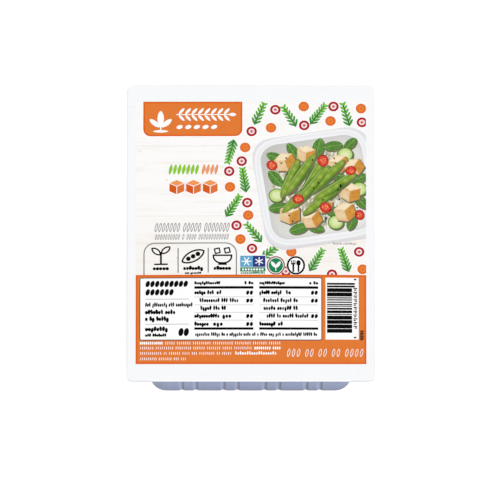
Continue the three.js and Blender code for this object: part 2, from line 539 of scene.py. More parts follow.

# %% [markdown]
# ## Milky plastic
#
# The tray is thin blue-grey plastic over wet white tofu. It is cloudy rather than painted, with faint
# upright draw marks. It is darker low down and a little bluer towards the top. Painted shade darkens
# it at the corners, and a painted contact shadow makes it brownish round the foot. In each flute a
# painted highlight lightens one flank and painted shade makes the other a dark line, and a painted
# highlight whitens the upper half of the flange's cut edge. Light enters the plastic a little way,
# which the shader's subsurface part gives.

# %% Finish of the tray
tray_blue = seen(131, 142, 171)
# Painted shade darkens the plastic near its corners.
shaded_corner_reach = 8  # how far from the corners the plastic is darker
edge_line = (-0.5, -0.2)  # how far outside the edge a line along it starts, and is full
milky = Finish("milky_plastic", IOR=1.49, Specular_IOR_Level=0.04, Subsurface_Weight=0.25,
               Subsurface_Scale=0.002, Subsurface_Radius=(1.0, 1.0, 1.0))
cloud = milky.noise(22, detail=2).spread(0.3, 0.7)
drawn = milky.noise(1.6, stretch=(1, 1, 0.06)).spread(0.25, 0.75)
across, along, height = milky.axes()
painted_corner_shade = (abs(across).spread(foot_half[0] - shaded_corner_reach, foot_half[0])
               * abs(along).spread(foot_half[1] - shaded_corner_reach, foot_half[1]))
from_edge = milky.from_edge()
outside_foot = from_edge.spread(-15, -12.5)  # leaves out the recessed floor
# A painted highlight whitens the upper half of the flange's cut edge.
highlight_from = flange_underside + 0.6
cut_edge_highlight = from_edge.spread(*edge_line) * height.spread(highlight_from, highlight_from + 0.1)
in_flute = milky.attribute("flute").spread(0, 0.25)
offset = milky.attribute("offset")
milky.coats(
    shaded(tray_blue, 0.96),
    (cloud * 0.6 + drawn * 0.4, shaded(tray_blue, 1.04)),
    (height.spread(12, 36), seen(129, 141, 171)),
    (height.spread(12, 1) * 0.45, seen(104, 111, 139)),
    # painted shade at the corners
    (painted_corner_shade * 0.8, shaded(tray_blue, 0.72)),
    # painted contact shadow: brownish bands round the foot
    (height.spread(5, 2.2) * outside_foot * 0.8, seen(122, 118, 131)),
    (height.spread(2.4, 1.4) * outside_foot * 0.9, seen(116, 102, 106)),
    (cut_edge_highlight, seen(222, 222, 225)),
    # painted highlight on one flank of each flute, and painted shade as a dark line on the other
    (in_flute * offset.near(-0.4, 0.6, core=0.25) * 0.6, seen(150, 162, 190)),
    (in_flute * offset.near(0.62, 0.4, core=0.12) * 0.9, seen(104, 98, 110)),
)
milky.feed("Roughness", 0.3 + 0.1 * cloud)
milky.relief(drawn * 0.6 + milky.noise(0.5, detail=1) * 0.4, depth=0.02)
tray_piece = make_piece(tray, "tray_body", milky)
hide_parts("tray")

# %% [markdown]
# ## How the film lies
#
# The film is flat where it is sealed, and inside the seal it arches over the water like a very shallow
# cushion. It is not quite even: the sheet sags and lifts by hundredths of a millimetre, and puckers a
# little beside the seal. All of that is one formula for its height. Film and print share a grid of
# small flat cells, and the height is read from that grid, so the ink never sinks into the film.

# %% Height of the film
film_thickness = 0.3
seal_width = 7.19
seal_half = (half_width - seal_width, half_length - seal_width)
ink_room = 0.12  # left below the top of the pack for the print
flat_top = film_low.z + film_thickness
crown = pack_top - ink_room - flat_top
cell = 2.0
slack_height, slack_width, slack_length = 0.05, 21, 29
pucker_height, pucker_width, pucker_length, pucker_reach = 0.025, 7, 16, 5.0
pattern_a, pattern_b = 2.5, 7.3  # each picks one of the noise's many patterns
end_shift = 40  # so that the puckers at the ends aren't those of the sides
hold_reach = 2.5  # how far inside the seal it still holds the film down


def pucker(across, along, gap):
    """Small waves across the seal's inner edge, which die out over a few millimetres."""
    wave = noise.noise(Vector((along / pucker_width, across / pucker_length, pattern_b)))
    return pucker_height * wave * math.exp(-gap / pucker_reach)


@functools.cache
def corner_height(column, row):
    """Height of the film's top at a corner of the grid."""
    x, y = column * cell, row * cell
    across = max(0.0, 1 - (x / seal_half[0]) ** 2)
    along = max(0.0, 1 - (y / seal_half[1]) ** 2)
    if across * along == 0:
        return flat_top
    slack = slack_height * noise.noise(Vector((x / slack_width, y / slack_length, pattern_a)))
    side_gap = seal_half[0] - abs(x)
    end_gap = seal_half[1] - abs(y)
    slack += pucker(x, y, side_gap) + pucker(y, x + end_shift, end_gap)
    hold = min(1.0, min(side_gap, end_gap) / hold_reach)
    return flat_top + crown * across * along + slack * hold


def film_top(x, y):
    """Height of the film's top anywhere, read between the corners of its cell."""
    column, row = math.floor(x / cell), math.floor(y / cell)
    right, up = x / cell - column, y / cell - row
    near = corner_height(column, row) * (1 - right) + corner_height(column + 1, row) * right
    far = corner_height(column, row + 1) * (1 - right) + corner_height(column + 1, row + 1) * right
    return near * (1 - up) + far * up


def cut_into_cells(mesh):
    """Cuts flat shapes along the film's grid."""
    for axis in (0, 1):
        places = [point.co[axis] for point in mesh.verts]
        for number in range(math.ceil(min(places) / cell), math.floor(max(places) / cell) + 1):
            cut(mesh, axis, number * cell)


def thicken(mesh, above, below):
    """Extrudes flat shapes into a closed sheet that follows the film, and gives its upper points.

    Above says for each point how far it lies above the film's top, and below is the same for all.
    """
    upper = points_among(bmesh.ops.extrude_face_region(mesh, geom=mesh.faces[:])["geom"])
    for point in mesh.verts:
        point.co.z = film_top(point.co.x, point.co.y) + (above(point) if point in upper else -below)
    bmesh.ops.recalc_face_normals(mesh, faces=mesh.faces[:])
    return upper


print(f"the film rises {film_top(0, 0) - flat_top:.2f} mm in the middle")

# %% [markdown]
# ## The film
#
# The sheet is a rounded rectangle cut into the grid's cells. Extruding it gives the film its thickness,
# and the height formula shapes both faces. The cut edge gets a small bevel, so that it catches a line
# of light as a real cut edge does.

# %% Film sheet
rim_turn = math.radians(60)
rim_bevel = 0.24
film = bmesh.new()
rectangle(film, (half_width, half_length), flange_corner_radius, segments=8)
cut_into_cells(film)
upper_points = thicken(film, lambda point: 0, film_thickness)
upper_rim = [edge for edge in film.edges
             if set(edge.verts) <= upper_points and edge.calc_face_angle(0.0) > rim_turn]
bevel(film, upper_rim, rim_bevel, segments=3)
print(f"{len(film.faces)} faces, {len(upper_rim)} edges round the top")

# %% [markdown]
# White lidding film is smooth and a little glossy. The heating bar that seals it leaves a few fine
# ridges all round the edge, which run parallel to it. They are far too fine for the mesh, so the
# shader raises them: it works out how far a point is from the edge and draws waves of that distance.

# %% Finish of the film
film_white = seen(248, 249, 251)
ridge_pitch = 0.9
lidding = Finish("lidding_film", IOR=1.45, Specular_IOR_Level=0.35)
mottle = lidding.noise(14).spread(0.3, 0.7)
from_edge = lidding.from_edge()
across, along, _ = lidding.axes()
# Between the corners of its lower end, where the film's cut edge faces the light, a painted highlight
# makes it pure white.
painted_edge_highlight = abs(across).spread(47, 45) * along.spread(0.6 - half_length, 0.3 - half_length)
lidding.coats(
    shaded(film_white, 0.998),
    (mottle, shaded(film_white, 1.003)),
    # painted shade along the last half millimetre of the film's rim
    (from_edge.spread(*edge_line), shaded(film_white, 0.86)),
    (painted_edge_highlight, (1, 1, 1, 1)),
)
lidding.feed("Roughness", 0.26 + 0.1 * mottle)
sealed = from_edge.spread(-7.1, -6.4) * from_edge.spread(-1.1, -1.8)
ridges = (from_edge * (2 * math.pi / ridge_pitch)).wave() * sealed
lidding.relief(ridges * 0.5 + lidding.noise(0.8, detail=2) * 0.3, depth=0.012)
film_piece = make_piece(film, "film_sheet", lidding)
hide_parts("lid_film")

# %% [markdown]
# ## Ink as thin plates
#
# Gravure ink is a skin a few hundredths of a millimetre thick, and the print has several, one over the
# other. Each ink is drawn here as flat shapes in millimetres, cut along the film's grid so that it can
# bend with it, and extruded into a closed plate. A later ink stands a hair higher than the one it is
# printed over. Each shape keeps a small map of itself, from -1 to 1 both ways, for patterns that
# follow the shape, and a shade number for its parts.

# %% Ink class
print_low = (-53.25, -64.4)
print_high = (53.45, 64.98)
first_lift = 0.02
lift_step = 0.012
lap = 0.0015  # how far a shape stands above the one of its own ink that it overlaps
sunk = 0.02  # how far a plate reaches down into the film
register = Vector((0, -0.27, 0))  # how far the whole print sits off the middle of the film


class Ink:
    """Shapes of one ink, drawn flat and then laid onto the film as a thin layer."""

    def __init__(self):
        self.mesh = bmesh.new()
        self.motif = self.mesh.loops.layers.uv.new("motif")
        self.shade = self.mesh.faces.layers.float.new("shade")
        self.raised = self.mesh.verts.layers.float.new("raised")
        self.height = 0.0

    def rise(self):
        """Lets the next shapes lie a hair over those that came before, where they overlap."""
        self.height += lap

    def settle(self, points, place, half, turn=0.0, shade=0.0, stroke=None, keyline=None):
        """Maps a new shape about its middle, then turns it and moves it to its place.

        With a stroke, only a line of that width along its edge is left of it. A keyline is such a line
        too, but it stays part of the shape and has a shade of 1.
        """
        faces = {face for point in points for face in point.link_faces}
        for face in faces:
            face[self.shade] = shade
            for corner in face.loops:
                across, along, _ = corner.vert.co
                corner[self.motif].uv = (across / half[0], along / half[1])
        turned = Matrix.Rotation(math.radians(turn), 3, "Z")
        bmesh.ops.rotate(self.mesh, matrix=turned, verts=points)
        bmesh.ops.translate(self.mesh, vec=(*place, 0), verts=points)
        line = []
        if stroke or keyline:
            line = bmesh.ops.inset_region(
                self.mesh, faces=list(faces), thickness=stroke or keyline,
                use_boundary=True, use_even_offset=True,
            )["faces"]
        for point in {point for face in [*faces, *line] for point in face.verts}:
            point[self.raised] = self.height
        if stroke:
            bmesh.ops.delete(self.mesh, geom=list(faces), context="FACES")
        if keyline:
            for face in line:
                face[self.shade] = 1

    def box(self, place, size, corner=0.0, rounded="all", **more):
        """A rectangle about its place."""
        half = (size[0] / 2, size[1] / 2)
        self.settle(rectangle(self.mesh, half, corner, rounded=rounded), place, half, **more)

    def field(self, left, right, low, high, *corners, **more):
        """A rectangle between four edges, with its corners given as for a box."""
        self.box(((left + right) / 2, (low + high) / 2), (right - left, high - low), *corners, **more)

    def disc(self, place, half, sides=18, point=0.0, **more):
        """A disc or an oval. With a point above 0 its two ends are drawn out like those of a leaf."""
        points = bmesh.ops.create_circle(self.mesh, cap_ends=True, segments=sides, radius=1)["verts"]
        for rim_point in points:
            rim_point.co.y *= abs(rim_point.co.y) ** point
        bmesh.ops.scale(self.mesh, vec=(*half, 1), verts=points)
        self.settle(points, place, half, **more)

    def slab(self, place, side_a, side_b, shade):
        """A slanted rectangle that spans two sides, as one face of a drawn cube."""
        points = rectangle(self.mesh, (1, 1))
        self.settle(points, (0, 0), (1, 1), shade=shade)
        for point in points:
            point.co.xy = place + side_a * (point.co.x / 2) + side_b * (point.co.y / 2)

    def lay(self, name, finish, layer):
        """Trims the shapes to the print, bends them with the film and gives them thickness."""
        for axis in (0, 1):
            for position in (print_low[axis], print_high[axis]):
                cut(self.mesh, axis, position, drop_beyond=True)
        bmesh.ops.translate(self.mesh, vec=register, verts=self.mesh.verts)
        cut_into_cells(self.mesh)
        lift = first_lift + lift_step * layer
        thicken(self.mesh, lambda point: lift + point[self.raised], sunk)
        make_piece(self.mesh, name, finish)


# %% [markdown]
# ## Ink finishes
#
# A printed colour is never quite even: the ink pools a little in the film's dips and lets some white
# through elsewhere. One function gives every plain ink that faint unevenness in colour and gloss, and
# the keyline that runs round the orange fields is the same ink, printed deeper.

# %% Plain ink finish
def ink_finish(name, colour, deeper=None, uneven=0.02, shine=0.15):
    """A printed colour. Parts with a shade of 1 take the deeper colour."""
    ink = Finish(name, IOR=1.45, Specular_IOR_Level=shine)
    pooled = ink.noise(3.5, detail=4).spread(0.3, 0.7)
    coats = [(pooled, shaded(colour, 1 + uneven))]
    if deeper:
        coats.append((ink.attribute("shade"), deeper))
    ink.coats(shaded(colour, 1 - uneven), *coats)
    ink.feed("Roughness", 0.32 + 0.08 * pooled)
    ink.relief(ink.noise(0.7, detail=2), depth=0.006)
    return ink

# %% [markdown]
# ## The board behind the print
#
# The picture shows whitewashed planks. Wood grain is noise that is drawn out along the board: fine for
# the pores, coarser for the streaks where the tan wood comes through the wash. A very broad noise says
# where the wash is thin, and it is thinner all over the lowest plank. Two joints between planks are
# thin dark lines that waver a little.

# %% Board
joint_places = (8.6, 43.5)
joint_half_width, joint_core = 0.32, 0.05
board_tan = seen(236, 223, 207)
joint_tan = seen(214, 200, 184)
wood = Finish("washed_planks", Roughness=0.4, Specular_IOR_Level=0.3)
pores = wood.noise(0.55, stretch=(0.05, 1, 1)).spread(0.3, 0.75)
streaks = wood.noise(2.2, detail=6, roughness=0.65, stretch=(0.06, 1, 1)).spread(0.5, 0.78)
bare = wood.noise(17, detail=2, stretch=(0.35, 1, 1)).spread(0.4, 0.66)
_, along, _ = wood.axes()
wavering = along + wood.noise(6, detail=2, stretch=(0.2, 1, 1)) * 1.2
low_joint, high_joint = (wavering.near(place, joint_half_width, joint_core) for place in joint_places)
joints = low_joint.highest(high_joint)
below_joint = wavering.spread(joint_places[0] + 0.2, joint_places[0] - 0.2)
specks = wood.cells(9, stretch=(0.7, 1, 1)).spread(0.06, 0.02)
wood.coats(
    seen(253, 252, 251),
    (pores * 0.55, seen(250, 248, 245)),
    (streaks * (0.25 + 0.75 * bare), board_tan),
    (below_joint * (0.07 + 0.2 * bare), board_tan),
    (joints * 0.3, joint_tan),
    (specks * 0.6, joint_tan),
)
wood.relief(pores, depth=0.006)
board = Ink()
board.field(print_low[0], print_high[0], print_low[1], print_high[1])
board.lay("print_board", wood, layer=0)

# %% [markdown]
# ## Orange fields
#
# An orange tab hangs from the upper edge and an orange band fills the lower third. Each has a narrow
# keyline of deeper orange: the field is inset, and the strip at its edge gets another shade.

# %% Orange tab and band
orange_ink = ink_finish("orange_ink", seen(226, 122, 50), deeper=seen(223, 95, 8))
white_ink = ink_finish("white_ink", seen(255, 254, 254), uneven=0.004)
keyline = 0.75
tab_left, tab_right, tab_low, tab_corner = -49.9, -3.9, 47.85, 3.4
band_top = -20.65
halo = 0.5
past_print = print_high[1] + 1

tab_halo = Ink()
tab_halo.field(tab_left - halo, tab_right + halo, tab_low - halo, past_print, tab_corner + halo, "low")
tab_halo.lay("print_tab_halo", white_ink, layer=1.4)
tab = Ink()
tab.field(tab_left, tab_right, tab_low, print_high[1], tab_corner, "low", keyline=keyline)
tab.lay("print_tab", orange_ink, layer=2)
band = Ink()
band.field(print_low[0], print_high[0], print_low[1], band_top, keyline=keyline)
band.lay("print_band", orange_ink, layer=1.6)

# %% [markdown]
# ## Rows of small print
#
# The pack's small print is set as rows of seeds: they keep the grey of real text lines, with short and
# tall letters and gaps between words, and say nothing. A row is told how many letters each word has,
# and its letters are spaced to fill the row. The random numbers come from a fixed seed, so the same
# rows are made on every run.

# %% Helpers for rows of seeds and leaves
dice = random.Random(14)
# Half the width of a seed, as a share of the step to the next one.
bold, medium, thin, faint, fine = 0.56, 0.48, 0.4, 0.28, 0.19
word_gap = 0.7  # in steps
tall_share, tall_size, tail_size = 0.4, 1.4, 0.4  # how many seeds are tall, and sizes beside a short one


def write(ink, left, right, base, size, weight, words, capitals=False, tails=0.15):
    """Sets words of so many seeds between left and right. Size is the height of a short seed."""
    pitch = (right - left) / (sum(words) + word_gap * (len(words) - 1))
    for letters in words:
        for _ in range(letters):
            tall = capitals or dice.random() < tall_share
            top = size if capitals or not tall else tall_size * size
            foot = -tail_size * size if not tall and dice.random() < tails else 0.0
            place = (left + pitch / 2, base + (top + foot) / 2)
            half = (pitch * weight * dice.uniform(0.8, 1.1), (top - foot) / 2)
            ink.disc(place, half, turn=dice.uniform(-9, 9), sides=8)
            left += pitch
        left += word_gap * pitch


def leaf_row(ink, left, right, middle, half, groups, grown=0.0, stroke=None):
    """A row of slanted leaves in groups, solid or as lines of the given width."""
    pitch = (right - left) / (sum(groups) + word_gap * (len(groups) - 1))
    left += pitch / 2
    for leaves in groups:
        for _ in range(leaves):
            size = (half[0] + grown, half[1] + grown)
            ink.disc((left, middle), size, turn=78, point=0.25, stroke=stroke)
            left += pitch
        left += word_gap * pitch


# %% [markdown]
# ## The facts panel
#
# The white panel on the band is laid out like any such table: a heading and a few lines at the left,
# then two columns of rows with rules between them, thick bars above and below, and a last line under
# both. Its rows are kept in lists, so one loop draws both columns.

# %% Facts panel
black_ink = ink_finish("black_ink", seen(8, 7, 8), uneven=0.08, shine=0.05)
slate_ink = ink_finish("slate_ink", seen(56, 66, 92), shine=0.1)
panel_left, panel_right, panel_low, panel_high = -51.5, 33.05, -52.85, -21.97
panel_corner = 0.9
for name, finish, inset, layer in (
    ("print_panel_rim", slate_ink, 0, 2.6),
    ("print_panel", white_ink, 0.4, 3.6),
):
    left, right = panel_left + inset, panel_right - inset
    low, high = panel_low + inset, panel_high - inset
    panel = Ink()
    panel.field(left, right, low, high, panel_corner - inset)
    panel.lay(name, finish, layer)

facts = Ink()
rules = Ink()
column_starts = (-26.1, 3.9)
column_width = 27.3
head_base, head_size = -25.5, 1.25
bars = ((-27.55, -26.35), (-47.63, -46.53))
rule_heights = (-31.6, -35.5, -39.2, -43.0)
row_bases = (-30.4, -34.3, -38.1, -41.9, -45.8)
# Each row: its bold words and where they end, its plain words and where they start and end, and
# whether a figure stands at the right.
rows = (
    (
        ((5, 3), 9.0, (2,), 10.2, 12.6, True),
        ((), 0, (9, 3, 4), 2.3, 20.4, True),
        ((), 0, (5, 3, 2), 2.7, 14.6, False),
        ((11,), 11.6, (3,), 12.9, 17.1, True),
        ((6,), 6.6, (3,), 8.6, 13.2, True),
    ),
    (
        ((5, 5), 10.4, (2,), 12.2, 14.7, True),
        ((), 0, (7, 5, 2), 1.8, 17.9, True),
        ((), 0, (5, 6, 2), 2.0, 17.9, False),
        ((), 0, (4, 2, 5, 6), 3.3, 22.8, True),
        ((7,), 7.5, (2,), 8.6, 11.0, False),
    ),
)
for left, column_rows in zip(column_starts, rows):
    right = left + column_width
    write(facts, left, left + 11.9, head_base, head_size, bold, (14,))
    write(facts, right - 4.2, right, head_base, head_size, bold, (1, 2))
    for low, high in bars:
        facts.field(left, right, low, high)
    for height in rule_heights:
        rules.field(left, right, height - 0.1, height + 0.1)
    for base, row in zip(row_bases, column_rows):
        bold_words, bold_end, plain_words, plain_start, plain_end, figure = row
        if bold_words:
            write(facts, left, left + bold_end, base, 1.6, bold, bold_words)
        write(facts, left + plain_start, left + plain_end, base, 1.65, medium, plain_words)
        if figure:
            for inset in (2.6, 0.9):
                facts.disc((right - inset, base + 0.9), (1.05, 0.72), turn=75, sides=14)
last_line = (8, 5, 2, 1, 7, 4, 2, 1, 4, 3, 3, 1, 9, 5, 2)
write(facts, -25.8, 30.7, -50.8, 1.45, medium, last_line)

# %% Left part of the facts panel
text_left = -48.9
bean_step = 2.2
for row_middle, beans in ((-25.1, 9), (-29.2, 6)):
    for number in range(beans):
        facts.disc((text_left + 1.2 + bean_step * number, row_middle), (1.6, 0.95), turn=72)
for height in (-32.6, -44.9):
    rules.field(text_left + 0.1, -28.6, height - 0.15, height + 0.15)
for right, base, size, weight, words in (
    (-26.9, -36.4, 1.65, medium, (3, 8, 3, 9)),
    (-34.9, -40.1, 1.8, bold, (7, 4)),
    (-38.0, -43.4, 1.8, bold, (1, 2, 5)),
    (-38.4, -48.4, 1.8, bold, (8,)),
    (-39.1, -51.1, 1.25, bold, (3, 7)),
):
    write(facts, text_left, right, base, size, weight, words)
for bean_middle in (-32.3, -29.8):
    facts.disc((bean_middle, -48.8), (2.0, 1.15), turn=78)
facts.lay("print_facts", black_ink, layer=5)
rules.lay("print_rules", ink_finish("grey_ink", seen(176, 178, 182)), layer=5)
print("the panel is laid")

# %% [markdown]
# ## Stripes and lines on the band
#
# Beside the panel stands a small white card with a column of black stripes of many widths, and below
# both run the lines of white small print, with a larger one at the right.

# %% Stripe card
card = Ink()
card.field(34.6, 49.95, -52.4, -22.05)
card.lay("print_card", white_ink, layer=2.8)
stripes = Ink()
height, lowest = -24.6, -49.4
stripe_left, short_end, long_end = 35.3, 46.9, 48.2
number = 0
while height > lowest:
    width = dice.choice((0.45, 0.6, 0.9, 1.3, 1.9))
    long_one = number < 2 or height < lowest + 2
    stripes.field(stripe_left, long_end if long_one else short_end, height - width, height)
    height -= width + dice.choice((0.24, 0.3, 0.4, 0.55))
    number += 1
figure_step, tick_step = 1.86, 1.25
for number in range(11):
    height = -27.3 - figure_step * number
    stripes.box((48.4, height), (1.7, 0.52))
    stripes.box((48.1 + 0.6 * dice.random(), height - 0.8), (1.0, 0.55))
for height in (-22.9, -51.4):
    stripes.box((48.3, height), (1.1, 0.7))
for number in range(4):
    height = -48.2 - tick_step * number
    stripes.box((51.5, height), (1.9, 0.5))
    stripes.box((51.3, height - 0.6), (1.3, 0.4))
stripes.lay("print_stripes", black_ink, layer=4.2)

# %% White lines
lower_case_line = -59.9  # the one line that isn't in capitals
lines = Ink()
for left, right, base, weight, words in (
    (-51.4, -40.6, -55.0, thin, (12,)),
    (-39.8, 13.9, -55.0, fine, (5, 7, 9, 10, 8, 7, 6)),
    (-51.4, 0.6, -57.4, fine, (7, 9, 8, 6, 7, 5, 9)),
    (1.5, 13.9, -57.4, thin, (8, 4)),
    (-51.4, -8.8, -60.0, fine, (11, 2, 6, 4, 3, 8, 2, 5)),
    (-7.4, 12.0, lower_case_line, thin, (18,)),
    (-51.4, -29.8, -62.7, fine, (9, 7, 3, 3)),
):
    capitals = base != lower_case_line
    write(lines, left, right, base, 1.6 if capitals else 1.3, weight, words, capitals)
leaf_row(lines, 16.4, 52.4, -58.9, (2.05, 0.68), (3, 2, 2, 2, 4), stroke=0.25)
lines.lay("print_white_lines", white_ink, layer=2.8)
print("the white lines are laid")

# %% [markdown]
# ## The emblem on the tab
#
# The tab carries a plain farm emblem in white: a sprig with three leaves, a long branch with paired
# leaves beside it, and a row of beans under the branch.

# %% Emblem
def heading(degrees):
    """The flat direction that lies so many degrees round from the right."""
    return Vector((math.cos(math.radians(degrees)), math.sin(math.radians(degrees))))


emblem = Ink()
sprig_foot = Vector((-41.8, 50.2))
for turn, length in ((90, 8.0), (140, 6.2), (40, 6.2)):
    middle = sprig_foot + Vector((0, 1.8)) + heading(turn) * (length / 2 + 0.5)
    emblem.disc(middle, (length / 2, 0.19 * length), turn=turn, point=0.4)
    emblem.rise()
emblem.box(sprig_foot + Vector((0, 1.2)), (0.6, 3.6), corner=0.2)
emblem.rise()
emblem.disc(sprig_foot + Vector((0, 0.1)), (3.6, 0.65), point=0.3)
emblem.rise()
branch_start, branch_end, branch_height = -34.6, -9.6, 58.6
emblem.field(branch_start, branch_end, branch_height - 0.22, branch_height + 0.22, 0.1)
emblem.rise()
leaf_step, bean_step = 3.0, 4.0
for number in range(8):
    for side in (-1, 1):
        middle = (branch_start + 2.5 + leaf_step * number, branch_height + 1.7 * side)
        emblem.disc(middle, (1.95, 0.64), turn=48 * side, point=0.3)
emblem.disc((branch_end + 1.2, branch_height), (1.7, 0.85), point=0.3)
for number in range(5):
    emblem.disc((-33.0 + bean_step * number, 52.4), (1.5, 0.95), turn=20)
emblem.lay("print_emblem", white_ink, layer=3)

# %% [markdown]
# ## The title
#
# Where a title stands on such a pack, this one has a row of green and orange leaves and, under it,
# three orange cubes, drawn with a lighter top and a deeper left side.

# %% Title leaves and cubes
leaf_green = ink_finish("leaf_ink", seen(140, 201, 40), uneven=0.05)
pale_orange = ink_finish("pale_orange_ink", seen(236, 155, 108), uneven=0.03)
cube_ink = ink_finish("cube_ink", seen(214, 88, 16), deeper=seen(242, 152, 88))
leaf_height, cube_height = 31.35, 22.55
cube_step = 7.75
cube_edges = ((0.48, 0.22), (-0.48, 0.22), (0, -0.56))  # away, across and down, for a side of 1
title_halo, green_leaves, orange_leaves, cubes = (Ink() for _ in range(4))


def drawn_cube(ink, middle, side, shades, turn=0, fill=1.0):
    """The three sides of a cube that one sees from above: its top, left and right.

    Each is drawn at a share of its size, which leaves gaps along the cube's edges.
    """
    tilt = Matrix.Rotation(math.radians(turn), 2)
    away, across, down = (tilt @ Vector(edge) * side for edge in cube_edges)
    middle = Vector(middle)
    sides = (
        (middle - down / 2, away, across),
        (middle - away / 2, across, down),
        (middle - across / 2, away, down),
    )
    for shade, (place, side_a, side_b) in zip(shades, sides):
        ink.slab(place, side_a * fill, side_b * fill, shade)


for leaves, left, right, number in ((green_leaves, -38.2, -23.9, 7), (orange_leaves, -22.9, -14.9, 4)):
    for ink, grown in ((title_halo, 0.4), (leaves, 0)):
        leaf_row(ink, left, right, leaf_height, (2.65, 0.74), (number,), grown)
title_halo.rise()
for number in range(3):
    place = (-34.3 + cube_step * number, cube_height)
    drawn_cube(title_halo, place, 8.3, (0, 0, 0))
    drawn_cube(cubes, place, 7.5, (1, 0, 0.35), fill=0.9)
title_halo.lay("print_title_halo", white_ink, layer=1)
green_leaves.lay("print_green_leaves", leaf_green, layer=2)
orange_leaves.lay("print_orange_leaves", pale_orange, layer=2)
cubes.lay("print_cubes", cube_ink, layer=2)

# %% [markdown]
# ## Grey lines and the claims box
#
# Two lines of fine grey leaves stand over a box with round upper corners. Thin dividers part the box
# into three places, each with a plain pictogram over a short line: a sprout, a pod and a bowl.

# %% Grey lines and claims box
pencil_grey = ink_finish("pencil_ink", seen(120, 120, 122), uneven=0.06, shine=0.2)
soft_grey = Ink()
leaf_row(soft_grey, -44.6, -9.7, 2.7, (2.35, 0.64), (7, 5, 7), stroke=0.3)
leaf_row(soft_grey, -44.5, -10.1, -2.0, (1.5, 0.42), (10, 1, 4, 12), stroke=0.22)
line_width = 0.5
soft_grey.field(-49.7, -6.4, band_top - 2, -4.8, 5.2, "high", stroke=line_width)
for divider in (-33.65, -19.7):
    soft_grey.field(divider - line_width / 2, divider + line_width / 2, -19.6, -7.5)
soft_grey.lay("print_grey_lines", pencil_grey, layer=0.5)

# %% Pictograms
sprout, bowl = -41.6, -13.1  # how far across each stands
signs = Ink()
signs.box((sprout, -12.4), (0.85, 6.0), corner=0.2)
for side in (-1, 1):
    middle = (sprout + 2.2 * side, -8.8 + 0.3 * side)
    signs.disc(middle, (2.8, 1.5), turn=90 - 52 * side, point=0.35, stroke=0.7)
signs.box((sprout, -15.4), (6.4, 0.75), corner=0.2)
pod_middle = Vector((-26.7, -11.6))
pod_tilt = 28
signs.disc(pod_middle, (6.0, 2.8), turn=pod_tilt, sides=24, point=0.3, stroke=0.75)
for number in (-1, 0, 1):
    signs.disc(pod_middle + 2.5 * number * heading(pod_tilt), (1.1, 1.1))
signs.box((bowl, -13.0), (9.2, 4.5), corner=3.8, rounded="low", stroke=0.75)
signs.box((bowl, -15.5), (4.0, 0.75), corner=0.2)
for place in ((-15.5, -8.9), (-10.9, -8.7)):
    signs.box(place, (2.9, 2.9), corner=0.35, turn=12, stroke=0.65)
for left, right, base, size, words in (
    (-45.4, -38.0, -18.4, 1.6, (5,)),
    (-31.3, -22.1, -18.4, 1.6, (7,)),
    (-30.6, -22.9, -20.3, 0.9, (3, 7)),
    (-17.3, -9.2, -18.4, 1.6, (6,)),
):
    write(signs, left, right, base, size, bold, words)
signs.lay("print_signs", black_ink, layer=1)

# %% [markdown]
# ## Three round-off marks
#
# Right of the box stand three small marks: a blue tile with a frost star over a green strip, a green
# disc with a pair of leaves, and a black ring with a fork and a spoon.

# %% Small marks
mark_white, mark_blue, mark_green, mark_black, mark_ring, star = (Ink() for _ in range(6))
tile_left, tile_middle, tile_right = -4.9, 1.0, 6.8
leaf_mark = Vector((11.6, -16.15))
cutlery_mark = Vector((20.9, -16.1))
fork, spoon = 19.7, 22.1  # how far to the right each stands
mark_white.field(-5.3, 7.1, -20.6, -11.0, 0.6)
for middle in (leaf_mark, cutlery_mark):
    mark_white.disc(middle, (4.4, 4.7), sides=32)
mark_blue.field(tile_left, tile_middle, -16.9, -11.4)
mark_blue.field(tile_middle, tile_right, -16.9, -11.4, shade=1)
mark_green.field(tile_left, tile_right, -19.2, -17.1)
write(mark_green, -4.8, 6.7, -20.3, 0.8, bold, (12,), tails=0)
mark_green.disc(leaf_mark, (3.35, 3.6), sides=32)
for ink, middle, stroke in ((mark_ring, leaf_mark, 0.6), (mark_black, cutlery_mark, 0.85)):
    ink.disc(middle, (4.25, 4.55), sides=32, stroke=stroke)
star_height = -14.15
for turn in (0, 60, 120):
    star.box(((tile_left + tile_middle) / 2, star_height), (4.4, 0.5), turn=turn)
    star.box(((tile_middle + tile_right) / 2, star_height), (4.0, 0.45), turn=turn + 30)
    star.rise()
write(star, -4.2, 6.1, -18.7, 1.1, thin, (8,), capitals=True)
for side in (-1, 1):
    star.disc(leaf_mark + Vector((1.05 * side, 0.4)), (1.9, 0.8), turn=90 - 36 * side, point=0.4)
    star.rise()
star.box(leaf_mark - Vector((0, 1.45)), (0.4, 2.4))
mark_black.box((fork, -17.2), (0.8, 4.2), corner=0.2)
mark_black.box((spoon, -17.4), (0.8, 3.8), corner=0.2)
mark_black.rise()
mark_black.box((fork, -15.3), (2.0, 0.7))
mark_black.disc((spoon, -14.9), (1.0, 1.4))
mark_black.rise()
for aside in (-0.78, 0, 0.78):
    mark_black.box((fork + aside, -14.4), (0.42, 1.6))
blue_ink = ink_finish("blue_ink", seen(94, 166, 204), deeper=seen(44, 56, 128))
mark_white.lay("print_mark_ground", white_ink, layer=6)
mark_blue.lay("print_mark_blue", blue_ink, layer=7)
mark_green.lay("print_mark_green", ink_finish("mark_green_ink", seen(24, 132, 84), uneven=0.04), layer=7)
mark_ring.lay("print_mark_ring", ink_finish("brown_ink", seen(140, 84, 68), uneven=0.04), layer=7)
star.lay("print_mark_star", white_ink, layer=8)
mark_black.lay("print_mark_black", black_ink, layer=7)

